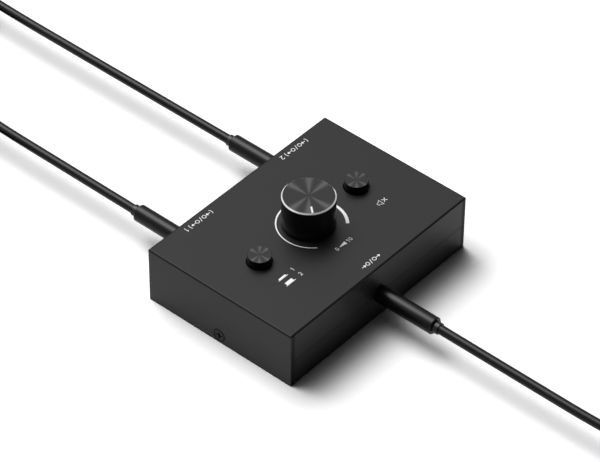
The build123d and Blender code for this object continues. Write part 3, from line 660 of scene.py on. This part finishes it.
def coil_shape(run, side, quarters):
    """Centre and outer radius of the coil that takes up the cord's spare length after its run.

    It turns left from the run's end. Its length is pi / 2 times the sum of its radius over the quarter turns,
    and that radius is the outer radius plus the coil's offset.
    """
    steps = np.diff(run, axis=0)
    spare = CORD_LENGTH - np.linalg.norm(steps, axis=1).sum() - 2 * CORD_DIAMETER
    end = coil_end(quarters)
    offsets = coil_offset(np.arange(end + 1), quarters)
    outer = (spare / (np.pi / 2) - np.sum(offsets[1:] + offsets[:-1]) / 2) / end
    first = run[-1] + steps[-1] / np.linalg.norm(steps[-1]) * CORD_DIAMETER
    return first[:2] - np.array([side * outer, 0.0]), outer


def coil_points(side, quarters, centre, outer):
    """Control points of a coil: inwards in the upper layer, down, outwards in the lower, and off to the plug.

    A spline runs inside its control points by the cosine of half the angle between them, so their radius
    is larger by that.
    """
    end = coil_end(quarters)
    t = np.linspace(0, end, end * POINTS_PER_QUARTER + 1)
    radius = outer + coil_offset(t, quarters)
    radius[1:-1] /= np.cos(np.pi / (4 * POINTS_PER_QUARTER))
    height = np.interp(t, [0, 1, quarters, quarters + 2, end - 2, end],
                       [ENTRY_HEIGHT, UPPER_LAYER, UPPER_LAYER, LOWER_LAYER, LOWER_LAYER, PLUG_HEIGHT])
    angle = t * np.pi / 2
    return np.column_stack([centre[0] + side * np.cos(angle) * radius,
                            centre[1] + side * np.sin(angle) * radius, height])


def cord_jacket():
    """Extruded flexible jacket: black, half glossy, with the die's fine drag in its gloss and height."""
    jacket = Finish(bpy.data.materials.new("cord_jacket"))
    drag = jacket.grain(cells=1800.0)
    drift = jacket.grain(cells=90.0)
    return jacket.surface({
        "Base Color": jacket.shade(0.6 * drift + 0.4 * drag, *JACKET_TONES),
        "Roughness": 0.22 + 0.08 * drag,
        "Specular IOR Level": 0.165,
        "Normal": jacket.bump(drag, depth=0.000002)})


jacket_finish = cord_jacket()
coils = {}
for lead, (start, side, lean, quarters, route) in CORD_ROUTES.items():
    out, aside, drop = np.array(route).T
    run = np.column_stack([start[0] + aside, start[1] + side * out, start[2] - drop])
    centre, outer = coil_shape(run, side, quarters)
    coils[lead] = centre, outer
    coil = coil_points(side, quarters, centre, outer)
    tail_way = side * np.cos(coil_end(quarters) * np.pi / 2)
    stub = coil[-1] + np.array([0.0, tail_way * CORD_DIAMETER, 0.0])
    # The photograph shows each cord level and straight to its edge, so it shifts and falls only past that.
    # The run's last two points make part of the shift, and the coil's first quarter the rest and the fall.
    shift = aside[-1] - lean * out[-1]
    fall = np.linspace(1, 0, POINTS_PER_QUARTER, endpoint=False) ** FALL_POWER
    run[:, 0] = start[0] + lean * out
    run[-2:, 0] += shift * np.array(SHIFT_MADE)
    run[:, 2] = start[2]
    coil[:2, 0] -= shift * np.array(SHIFT_LEFT)
    coil[:POINTS_PER_QUARTER, 2] += drop[-1] * fall
    points = np.vstack([run, coil, stub])
    curve = bpy.data.curves.new(f"{lead}_cable", "CURVE")
    curve.dimensions = "3D"
    spline = curve.splines.new("NURBS")
    spline.points.add(len(points) - 1)
    spline.points.foreach_set("co", np.column_stack([points, np.ones(len(points))]).ravel())
    spline.order_u = 3
    spline.use_endpoint_u = True
    spline.resolution_u = SPLINE_STEPS
    curve.bevel_depth = CORD_DIAMETER / 2
    curve.bevel_resolution = ROUND_STEPS
    curve.use_fill_caps = True
    curve.materials.append(jacket_finish)
    cable = bpy.data.objects.new(f"{lead}_cable", curve)
    bpy.context.scene.collection.objects.link(cable)
    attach(cable, lead)
    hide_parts(f"{lead}_cord", f"{lead}_coil")


# A strap of black hook-and-loop tape, 8 mm wide, ties each coil.
# It is wrapped once round the coil's turns and pressed shut where its end laps over itself.

STRAP_TONES = ((0.006, 0.006, 0.006, 1.0), (0.018, 0.018, 0.018, 1.0))
STRAP_WIDTH = 0.008
STRAP_THICKNESS = 0.0008
STRAP_CLEARANCE = 0.0003
STRAP_CORNER = 0.0012
CORNER_POINTS = 9
STRAP_LAP = 0.005
LAP_RISE = 1.1
LAP_RAMP = 0.001
LAP_START = 0.0001


def strap_fabric():
    """Napped tape: matt black loops that catch a little light, over a close weave."""
    tape = Finish(bpy.data.materials.new("tie_fabric"))
    nap = tape.grain(cells=7000.0)
    return tape.surface({
        "Base Color": tape.shade(nap, *STRAP_TONES),
        "Roughness": 0.85 + 0.1 * nap,
        "Specular IOR Level": 0.2,
        "Sheen Weight": 0.3,
        "Normal": tape.bump(nap, depth=0.00006)})


strap_finish = strap_fabric()


def strap_loop(name, centre, inner, outer, way):
    """A flat tape carried once round the coil's section, in the upright plane along way, and lapped on top.

    The path is a rounded rectangle from the middle of its top, clockwise. Past the last corner it climbs by
    the tape's thickness and a little more, and runs on over its own start. The tape's section has eight
    corners, and is thinner at its two edges.
    """
    around = CORD_DIAMETER / 2 + STRAP_CLEARANCE + STRAP_THICKNESS / 2
    low, high = inner - around, outer + around
    floor, roof = STRAP_THICKNESS / 2, UPPER_LAYER + around
    middle = (low + high) / 2
    lap = roof + LAP_RISE * STRAP_THICKNESS
    near, far = low + STRAP_CORNER, high - STRAP_CORNER
    foot, head = floor + STRAP_CORNER, roof - STRAP_CORNER
    hubs = np.repeat([[far, head], [far, foot], [near, foot], [near, head]], CORNER_POINTS, axis=0)
    quarters = [np.linspace(90 - 90 * k, -90 * k, CORNER_POINTS) for k in range(4)]
    angles = np.radians(np.concatenate(quarters))
    turns = np.stack([np.cos(angles), np.sin(angles)], 1)
    lapped = [[near + LAP_RAMP, roof + LAP_START], [middle - LAP_RAMP, lap], [middle + STRAP_LAP, lap]]
    path = np.vstack([[[middle, roof]], hubs + STRAP_CORNER * turns, lapped])
    normals = np.vstack([[[0, 1]], turns, [[0, 1]] * len(lapped)])
    thick = STRAP_THICKNESS / 2
    half = STRAP_WIDTH / 2
    inset = half - thick / 2
    across = np.array([-half, -inset, inset, half, half, inset, -inset, -half])
    lift = np.array([0.5, 1, 1, 0.5, -0.5, -1, -1, -0.5]) * thick
    section = path[:, None, :] + normals[:, None, :] * lift[None, :, None]
    side_way = np.array([-way[1], way[0]])
    flat = section[:, :, :1] * np.array(way) + across[None, :, None] * side_way + centre
    points = np.dstack([flat, section[:, :, 1]]).reshape(-1, 3)
    rows, k = np.arange(len(path) - 1)[:, None] * 8, np.arange(8)
    ring = (k + 1) % 8
    faces = np.stack([rows + k, rows + 8 + k, rows + 8 + ring, rows + ring], 2).reshape(-1, 4).tolist()
    last = (len(path) - 1) * 8
    faces += [list(range(8)), list(range(last + 7, last - 1, -1))]
    mesh = bpy.data.meshes.new(name)
    mesh.from_pydata(points.tolist(), [], faces)
    mesh.materials.append(strap_finish)
    strap = bpy.data.objects.new(name, mesh)
    bpy.context.scene.collection.objects.link(strap)
    return strap


for lead, (start, side, _, quarters, _) in CORD_ROUTES.items():
    centre, outer = coils[lead]
    inner = outer + coil_offset(quarters + 1, quarters)
    away = side if quarters % 2 == 0 else -side
    strap = strap_loop(f"{lead}_strap", centre, inner, outer, (0.0, away))
    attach(strap, lead)
    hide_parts(f"{lead}_tie")


# The box stands on a white table in a white studio. One broad soft light hangs above and behind it, and only
# reflections see the pale walls and the dark gap between them, so the shadow in front of the box stays deep.

LIGHT_WAY = np.array([0.0, 0.610, 1.0])
LIGHT_AXIS = LIGHT_WAY / np.linalg.norm(LIGHT_WAY)
LIGHT_FOCUS = 20.17
LIGHT_MIDDLE = 0.0145
LIGHT_HALF = 0.331
LIGHT_EDGE = 4.9
LIGHT_STEPS = 200
POLE_GUARD = 0.0001
WALL_GLOW = 0.62
WALL_SWING = 0.35
BRIGHT_WALL = (0.2, 0.98, 0.0)
DARK_GAP = (0.8, 0.6, 0.0)
GAP_DEPTH = 0.85
GAP_FOCUS = 12.0
TABLE_COLOUR = (0.80, 0.80, 0.80, 1.0)
TABLE_WHITE = (1.20, 1.20, 1.20, 1.0)
TABLE_MIRRORED = 0.8
TABLE_HALF = 0.45
TABLE_DROP = 0.00005


def light_strength():
    """The light's strength at its middle, so that a level white surface in the open renders as white.

    Rays spread evenly over height and turn are spread evenly over the sky, so under a light of strength 1 the
    surface has twice the mean of the lobe times the ray's height. The strength is one over that.
    """
    steps = (np.arange(LIGHT_STEPS) + 0.5) / LIGHT_STEPS
    height, turn = np.meshgrid(steps, 2 * np.pi * steps)
    level = np.sqrt(1 - height ** 2)
    aside = level * np.cos(turn)
    toward = np.clip(level * np.sin(turn) * LIGHT_AXIS[1] + height * LIGHT_AXIS[2], 0, None)
    tilt = toward / np.sqrt(1 - aside ** 2)
    lobe = tilt ** LIGHT_FOCUS / (1 + np.abs((aside - LIGHT_MIDDLE) / LIGHT_HALF) ** LIGHT_EDGE)
    return float(1 / (2 * np.mean(lobe * height)))


def ray_kinds(finish):
    """Whether a ray comes from the camera, and whether from a reflection, each as a wire of 0 or 1."""
    paths = finish.node("ShaderNodeLightPath").socket.node.outputs
    return Wire(finish, paths["Is Camera Ray"]), Wire(finish, paths["Is Glossy Ray"])


scene = bpy.context.scene
scene.world = bpy.data.worlds.new("studio")
studio = Finish(scene.world)
direction = studio.node("ShaderNodeTexCoord", out="Generated")


def facing(axis):
    """The cosine of the angle between a ray and a direction."""
    return studio.node("ShaderNodeVectorMath", {"operation": "DOT_PRODUCT"},
                       {0: direction, 1: tuple(float(a) for a in axis)}, "Value")


aside = facing((1.0, 0.0, 0.0))
tilt = facing(LIGHT_AXIS).at_least(0.0) / (1 - aside * aside).at_least(POLE_GUARD) ** 0.5
fade = 1 + abs((aside - LIGHT_MIDDLE) / LIGHT_HALF) ** LIGHT_EDGE
softbox = tilt ** LIGHT_FOCUS / fade * light_strength()
gap = GAP_DEPTH * facing(DARK_GAP).at_least(0.0) ** GAP_FOCUS
walls = (WALL_GLOW + WALL_SWING * facing(BRIGHT_WALL) - gap).at_least(0.0)
seen, mirrored = ray_kinds(studio)
radiance = softbox * (1 - seen) + mirrored * walls + seen
backdrop = studio.node("ShaderNodeBackground", {}, {"Color": (1.0, 1.0, 1.0, 1.0), "Strength": radiance})
studio.node("ShaderNodeOutputWorld", {}, {"Surface": backdrop})

table_finish = Finish(bpy.data.materials.new("white_table"))
seen, mirrored = ray_kinds(table_finish)
shown = seen.at_least(TABLE_MIRRORED * mirrored)
white = table_finish.shade(shown, TABLE_COLOUR, TABLE_WHITE)
matt = table_finish.node("ShaderNodeBsdfDiffuse", {}, {"Color": white})
table_corners = np.array([(-1, -1), (1, -1), (1, 1), (-1, 1)]) * TABLE_HALF
table_mesh = bpy.data.meshes.new("table")
table_mesh.from_pydata([(x, y, -TABLE_DROP) for x, y in table_corners.tolist()], [], [(0, 1, 2, 3)])
table_mesh.materials.append(table_finish.close(matt))
table = bpy.data.objects.new("table", table_mesh)
scene.collection.objects.link(table)


# The camera looks down on the box's front left corner through a long lens, as the photograph does.
# It is set by the turn and tilt of its view, the roll about it, and the place on the table it looks at.

CAMERA_AZIMUTH = np.radians(-49.321)
CAMERA_ELEVATION = np.radians(42.694)
CAMERA_ROLL = np.radians(0.502)
CAMERA_DISTANCE = 1.267473
CAMERA_TARGET = np.array([0.015306, 0.017317, 0.0])
CAMERA_LENS = 198.888
CAMERA_SENSOR = 36.0
CAMERA_REACH = 50.0

back = np.array([np.sin(CAMERA_AZIMUTH) * np.cos(CAMERA_ELEVATION),
                 -np.cos(CAMERA_AZIMUTH) * np.cos(CAMERA_ELEVATION), np.sin(CAMERA_ELEVATION)])
level = np.array([np.cos(CAMERA_AZIMUTH), np.sin(CAMERA_AZIMUTH), 0.0])
upright = np.cross(back, level)
right = level * np.cos(CAMERA_ROLL) + upright * np.sin(CAMERA_ROLL)
top = upright * np.cos(CAMERA_ROLL) - level * np.sin(CAMERA_ROLL)
pose = np.eye(4)
pose[:3] = np.column_stack([right, top, back, CAMERA_TARGET + back * CAMERA_DISTANCE])
lens = bpy.data.cameras.new("camera")
lens.lens = CAMERA_LENS
lens.sensor_width = CAMERA_SENSOR
lens.sensor_fit = "HORIZONTAL"
lens.clip_end = CAMERA_REACH
camera = bpy.data.objects.new("camera", lens)
camera.matrix_world = Matrix(pose.tolist())
scene.collection.objects.link(camera)
scene.camera = camera
scene.view_settings.view_transform = "Standard"
